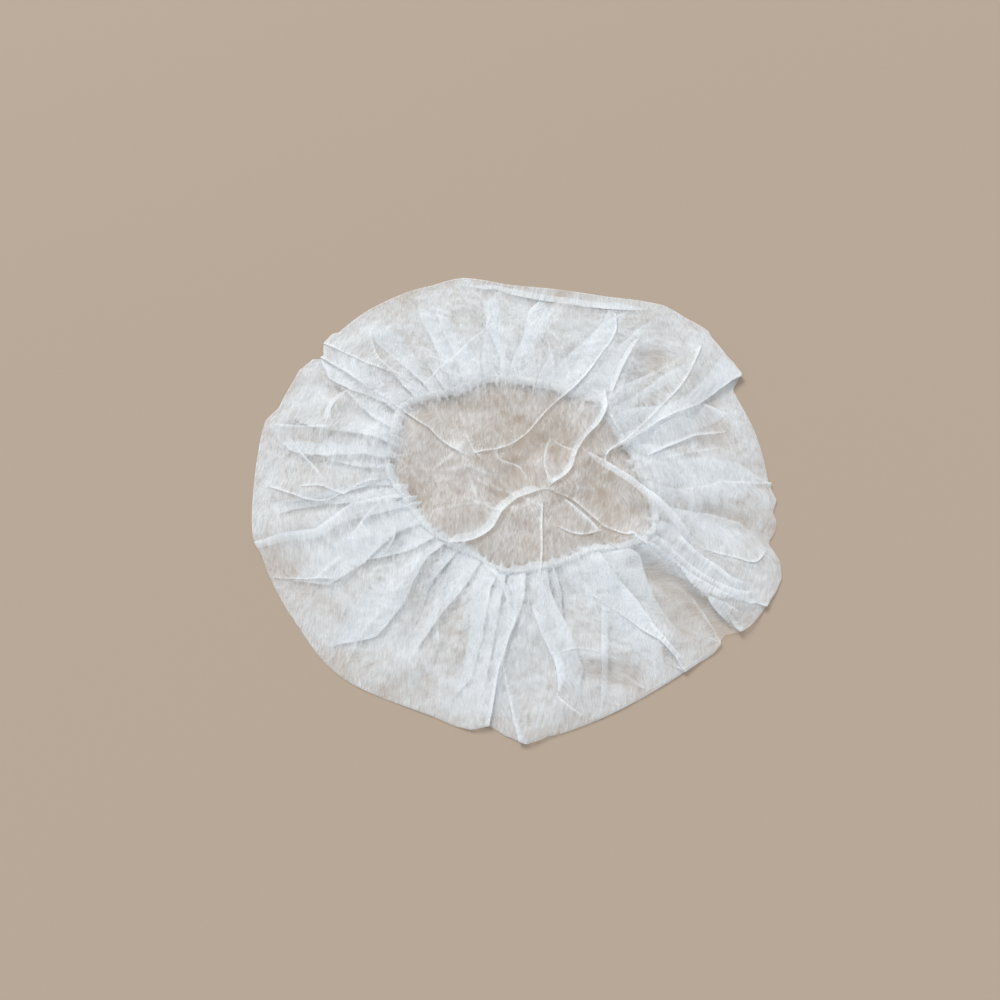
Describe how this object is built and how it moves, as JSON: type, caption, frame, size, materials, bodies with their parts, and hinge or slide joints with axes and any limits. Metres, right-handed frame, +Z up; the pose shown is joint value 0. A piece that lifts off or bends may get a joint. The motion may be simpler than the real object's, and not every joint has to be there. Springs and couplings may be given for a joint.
{
  "type": "disposable hair cover cap",
  "caption": "Round bouffant hair cover of thin non-woven cloth, gathered on an elastic, lying flat with its opening down.",
  "frame": {"origin": "on the surface that the cap lies on, under the middle of its outline seen from above", "axes": "+Z up from the opening to the crown, +Y away from the camera, +X to the right in the picture"},
  "size_m": [0.3356, 0.3414, 0.0174],
  "materials": {
    "cloth": "thin sheer white spunbonded non-woven, matt",
    "hem_cloth": "the same non-woven, doubled, crinkled and weld-marked",
    "elastic": "matt off-white flat elastic"
  },
  "bodies": {
    "root": {"crown": "cloth", "skirt": "cloth", "hem_casing": "hem_cloth", "elastic_band": "elastic"}
  },
  "joints": []
}
